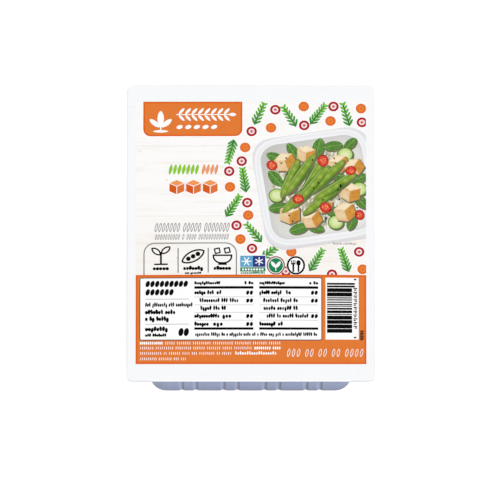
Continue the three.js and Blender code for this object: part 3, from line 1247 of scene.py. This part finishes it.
# %% [markdown]
# ## The dish
#
# The picture on the print is a plain serving idea: a square plate with rice, tofu cubes, snow peas,
# tomato and cucumber. Every food is one ink with its own finish. The finish reads the small map of
# each shape, so a pea pod is paler along its middle and a tomato slice has its skin round the edge,
# whichever way the shape is turned. A darker copy of each shape, moved a little, is its shadow.

# %% Finish that follows a shape
class Motif(Finish):
    """An ink finish that follows the map of each shape."""

    def __init__(self, name):
        super().__init__(name, Roughness=0.38, IOR=1.45, Specular_IOR_Level=0.25)
        mapped = self.node("ShaderNodeUVMap", {"uv_map": "motif"})
        self.along, self.across, _ = self.axes(mapped)
        self.from_middle = (self.along * self.along + self.across * self.across) ** 0.5
        self.grain = self.noise(0.9).spread(0.3, 0.7)
        self.relief(self.grain, depth=0.006)

# %% Plate
plate_middle = Vector((30.5, 22.6))
plate_turn = 9
plate_side, plate_corner = 54.5, 9.6
well_side, well_corner = 47.5, 8.2
shadow_side = plate_side + 0.8
spread_out = 1.09  # how much wider the food lies than the numbers below


def on_plate(place):
    """The place on the print of a place on the plate, measured from the plate's middle."""
    turned = Matrix.Rotation(math.radians(plate_turn), 2) @ Vector(place)
    return plate_middle + turned * spread_out


def square_reach(motif, squareness=5):
    """How far out a point lies on a square with round corners, from 0 in the middle to 1 at its edge."""
    return (abs(motif.across) ** squareness + abs(motif.along) ** squareness) ** (1 / squareness)


shadow_ink = ink_finish("shadow_ink", seen(222, 219, 220), uneven=0.01)
glaze = Motif("plate_glaze")
reach = square_reach(glaze)
glaze.coats(
    seen(249, 249, 250),
    (reach.spread(0.86, 1), seen(226, 227, 231)),
    (reach.near(0.97, 0.03) * 0.7, seen(252, 252, 252)),
)
hollow = Motif("plate_hollow")
hollow.coats(
    seen(234, 233, 229),
    ((hollow.across - hollow.along).spread(-1.2, 1.6), seen(198, 197, 190)),
    (square_reach(hollow).spread(0.93, 1) * 0.4, seen(194, 196, 198)),
)
for name, middle, side, corner, finish, layer in (
    ("print_plate_shadow", plate_middle + Vector((0.5, -0.9)), shadow_side, plate_corner, shadow_ink, 1),
    ("print_plate", plate_middle, plate_side, plate_corner, glaze, 1.4),
    ("print_well", plate_middle, well_side, well_corner, hollow, 1.8),
):
    square = Ink()
    square.box(middle, (side, side), corner, turn=plate_turn)
    square.lay(name, finish, layer)

# %% Rice
rice_finish = Motif("rice_print")
grains = 0
for turn, size in ((0.5, 1.5), (2.1, 1.3), (3.4, 1.7)):
    grains = rice_finish.cells(size, stretch=(1, 0.42, 1), turn=turn).spread(0.5, 0.2).highest(grains)
rice_finish.coats(seen(178, 173, 146), (grains, seen(242, 239, 226)))
rice = Ink()
heaps = 14
for number in range(heaps):
    turn = 360 * number / heaps
    reach = 12.8 + 1.4 * dice.random()
    rice.disc(on_plate(reach * heading(turn)), (6.6, 5.8), turn=turn, sides=20)
    rice.rise()
rice.disc(plate_middle, (13, 13), sides=24)
rice.lay("print_rice", rice_finish, layer=2.2)

# %% [markdown]
# The foods lie over each other in a set order: leaves and cucumber lowest, then the cubes, then the
# pods across the middle, and tomato and seeds on top.

# %% Food finishes
pod_finish = Motif("pod_print")
along, across = pod_finish.along, pod_finish.across
beads = (along * 17).wave().spread(-0.2, 1) * across.near(-0.05, 0.6)
pod_finish.coats(
    seen(58, 102, 26),
    (abs(across).spread(0.95, 0.1), seen(140, 168, 54)),
    (beads * 0.5, seen(190, 208, 104)),
    (across.near(0.62, 0.14) * 0.6, seen(214, 230, 150)),
    (abs(along).spread(0.8, 1) * 0.6, seen(92, 96, 40)),
    (pod_finish.grain * 0.25, seen(84, 140, 40)),
)

cube_finish = Motif("fried_cube_print")
side_tone = cube_finish.attribute("shade")
rim = abs(cube_finish.along).highest(abs(cube_finish.across)).spread(0.62, 1)
browned = cube_finish.noise(2.4).spread(0.42, 0.68)
cube_finish.coats(
    seen(196, 130, 38),
    (side_tone, seen(247, 232, 196)),
    (browned * (1 - side_tone * 0.8) * 0.8, seen(226, 156, 44)),
    (rim * (0.2 + 0.5 * browned), seen(200, 124, 40)),
    (cube_finish.grain * 0.15, seen(240, 210, 150)),
)

tomato_finish = Motif("tomato_print")
radius = tomato_finish.from_middle
seeds = tomato_finish.noise(0.8, detail=2).spread(0.5, 0.62)
tomato_finish.coats(
    seen(232, 96, 62),
    (radius.spread(0.3, 0.62), seen(196, 28, 26)),
    (seeds * radius.near(0.45, 0.3), seen(240, 190, 110)),
    (radius.near(0.76, 0.1) * 0.7, seen(238, 84, 66)),
    (radius.spread(0.86, 0.92), seen(150, 14, 22)),
)

cucumber_finish = Motif("cucumber_print")
radius = cucumber_finish.from_middle
seeds = cucumber_finish.noise(0.7, detail=1).spread(0.5, 0.6)
cucumber_finish.coats(
    seen(224, 234, 178),
    (radius.spread(0.2, 0.8), seen(184, 212, 122)),
    (seeds * radius.near(0.45, 0.25) * 0.7, seen(240, 244, 214)),
    (radius.spread(0.84, 0.93), seen(62, 112, 40)),
)

leaf_finish = Motif("basil_print")
veins = ((abs(leaf_finish.across) * 0.9 - leaf_finish.along) * 15).wave().spread(0.7, 1)
leaf_finish.coats(
    seen(52, 104, 34),
    (leaf_finish.grain, seen(96, 150, 58)),
    (veins * 0.35, seen(150, 190, 100)),
    (leaf_finish.across.near(0, 0.12) * 0.6, seen(160, 198, 110)),
)
print(f"{len(bpy.data.materials)} finishes so far")

# %% Foods on the plate
food_shadow, leaves, slices, fried, pods, tomatoes, seeds = (Ink() for _ in range(7))
drop = Vector((0.5, -0.6))


def with_shadow(food, place):
    """The shadow's ink and the food's own, with where to draw, and 1 for the shadow, which is wider."""
    for ink, middle, wider in ((food_shadow, on_plate(place) + drop, 1), (food, on_plate(place), 0)):
        yield ink, middle, wider
        ink.rise()


for u, v, length, turn in (
    (-16.6, 6.4, 5.0, 130), (-10.4, -17.4, 4.8, 200), (17.4, 1.2, 5.2, 20), (3.4, 17.4, 5.2, 75),
    (17.4, -9.0, 4.8, -50), (-3.6, -17.8, 4.6, -20), (9.8, 17.4, 4.6, 10), (-17.4, -6.6, 4.8, 190),
    (-7.6, 17.8, 4.4, 120), (12.2, -18, 4.2, 250), (-15.4, 16.2, 4.2, 160), (4.6, -11.6, 4.8, 330),
    (8.6, 4.4, 4.6, 350), (-11.8, 0.6, 4.2, 20), (17.2, 17.2, 4.0, 45),
):
    for ink, place, wider in with_shadow(leaves, (u, v)):
        ink.disc(place, (length, (0.52 + 0.03 * wider) * length), turn=turn, point=0.25)
for place in ((14.4, 12.8), (-17.4, -1.2), (5.6, -17.0), (17.8, -3.6)):
    for ink, place, wider in with_shadow(slices, place):
        ink.disc(place, (3.7 + 0.1 * wider, 3.5 + 0.1 * wider), sides=24)
for u, v, side, turn in (
    (-11.4, 13.2, 9.8, 14), (-2.0, 15.4, 8.8, -12), (13.8, -4.6, 9.6, -16), (10.8, 9.0, 9.4, 8),
    (-4.2, -14.2, 9.0, 18), (10.2, -13.0, 9.8, 10), (-13.2, -10.6, 9.6, -8), (17.4, 6.6, 8.6, 22),
    (1.6, -8.6, 8.4, -20),
):
    for ink, place, wider in with_shadow(fried, (u, v)):
        drawn_cube(ink, place, side * (1 + 0.04 * wider), (1, 0.68, 0), turn=plate_turn + turn)
for u, v, length, turn in (
    (-10.6, 5.6, 10.6, 58), (-8.0, -3.4, 11.4, 36), (-5.6, 7.0, 12.4, 47), (-1.0, 4.4, 13.0, 53),
    (4.6, 3.6, 12.6, 36), (2.2, -5.6, 12.8, 31), (7.8, -1.0, 12.0, 25), (-2.2, 0.6, 13.6, 42),
):
    for ink, place, wider in with_shadow(pods, (u, v)):
        half = (length + 0.15 * wider, 2.45 + 0.15 * wider)
        ink.disc(place, half, turn=plate_turn + turn, sides=28, point=0.3)
for u, v, radius in (
    (-17.2, 12.6, 2.7), (-8.6, -4.2, 2.7), (4.6, 11.4, 3.0), (15.6, 5.2, 2.6), (2.4, -9.8, 2.9),
    (16.2, -15.2, 2.6),
):
    tomatoes.disc(on_plate((u, v)), (radius, 0.86 * radius), turn=40 * v, sides=22)
for number in range(16):
    place = on_plate((32 * dice.random() - 16, 32 * dice.random() - 16))
    seeds.disc(place, (0.5, 0.34), turn=180 * dice.random(), sides=8)
shade_ink = ink_finish("food_shadow_ink", seen(112, 112, 84), uneven=0.2)
food_shadow.lay("print_food_shadow", shade_ink, layer=2.8)
leaves.lay("print_basil", leaf_finish, layer=3.4)
slices.lay("print_cucumber", cucumber_finish, layer=5.4)
fried.lay("print_fried_cubes", cube_finish, layer=6)
pods.lay("print_pods", pod_finish, layer=7.3)
tomatoes.lay("print_tomatoes", tomato_finish, layer=8.7)
seeds.lay("print_seeds", black_ink, layer=9)

# %% [markdown]
# ## Scattered sprigs, carrot coins and radish slices
#
# Round the plate the boards are strewn with sprigs, carrot coins and slices of radish, each with a
# white rim as if cut out of paper. They are placed one by one, because an even rule looks like wallpaper:
# the lists below hold the middle of each, and the print's edge cuts off those that reach past it.

# %% Scattered garnish
sprig_finish = ink_finish("sprig_ink", seen(40, 126, 52), deeper=seen(112, 192, 56), uneven=0.12)
coin_finish = Motif("carrot_print")
coin_finish.coats(
    seen(228, 112, 34),
    (coin_finish.from_middle.near(0.4, 0.1) * 0.6, seen(245, 166, 96)),
    (coin_finish.from_middle.spread(0.8, 1) * 0.6, seen(212, 88, 18)),
)
radish_finish = Motif("radish_print")
radish_finish.coats(
    seen(196, 44, 62),
    (radish_finish.from_middle.spread(0.12, 0.42), seen(252, 238, 238)),
    (radish_finish.from_middle.spread(0.52, 0.6), seen(172, 8, 28)),
)
garnish_halo, sprigs, coins, radishes = (Ink() for _ in range(4))
rim_width = 0.45
slice_radius = 2.45
stem_width, leaf_half_width = 0.75, 0.55
pair_step, leaf_lean = 1.9, 42


def add_sprig(place, turn, length):
    """A stem with pairs of narrow leaves that get shorter towards the tip."""
    for ink, grown in ((garnish_halo, rim_width), (sprigs, 0)):
        ink.box(place, (length + 2 * grown, stem_width + 2 * grown), corner=0.3, turn=turn)
        pairs = round(length / pair_step)
        for number in range(pairs + 1):
            share = number / pairs
            root = place + heading(turn) * length * (share - 0.5)
            reach = 2.0 - 0.7 * share
            ink.height = lap * (1 + number % 2)
            for lean in (turn - leaf_lean, turn + leaf_lean):
                middle = root + heading(lean) * reach * 0.8
                half = (reach + grown, leaf_half_width + grown)
                ink.disc(middle, half, turn=lean, shade=0.25 + 0.75 * share, sides=10, point=0.2)
        ink.height = 0


for x, y, turn in (
    (3.8, 58.6, 66), (18.2, 57.4, 122), (31.0, 58.4, 54), (44.4, 58.2, 106), (-9.2, 40.6, 255),
    (-3.0, 25.6, 98), (-8.4, 12.8, 58), (1.6, -0.4, 128), (9.6, -9.0, 38), (30.2, -13.8, 60),
    (43.6, -13.8, 108),
):
    add_sprig(Vector((x, y)), turn, 10 + 0.8 * dice.random())
coin_places = (
    (9.4, 52.0), (24.6, 62.6), (37.0, 55.4), (51.2, 61.6), (-2.6, 42.2), (-9.6, 22.6), (-1.2, 8.6),
    (-4.8, -3.2), (18.8, -9.4), (51.8, -17.8),
)
radish_places = (
    (0.4, 50.2), (11.4, 61.0), (24.8, 53.2), (38.4, 62.6), (51.6, 54.8), (-4.2, 35.4), (-10.0, 30.4),
    (-1.6, 14.8), (-6.6, 3.6), (0.6, -7.8), (16.3, -19.0), (50.2, -9.2), (37.6, -20.4),
)
for ink, places in ((coins, coin_places), (radishes, radish_places)):
    for place in places:
        ink.disc(place, (slice_radius, slice_radius), turn=360 * dice.random(), sides=20)
        garnish_halo.disc(place, (slice_radius + rim_width, slice_radius + rim_width), sides=20)
garnish_halo.lay("print_garnish_halo", white_ink, layer=0.25)
sprigs.lay("print_sprigs", sprig_finish, layer=0.55)
coins.lay("print_carrot_coins", coin_finish, layer=0.55)
radishes.lay("print_radishes", radish_finish, layer=0.55)

# %% [markdown]
# Below the plate stands one line of the finest print, as the note on a serving picture does. Its seeds
# are narrow, so that the line looks pale.

# %% Grey note below the plate
note = Ink()
write(note, 38.0, 49.0, -5.8, 0.95, faint, (7, 10))
note.lay("print_plate_note", pencil_grey, layer=1.4)

# %% [markdown]
# ## The pack's size
#
# Finishes must not make the pack bigger than its imported model, or it would no longer go where the model
# goes. So both boxes are printed.

# %% Sizes
for name, box in (("cad", cad_box), ("visual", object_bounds())):
    print(name, [[round(value / MM, 2) for value in corner] for corner in box])
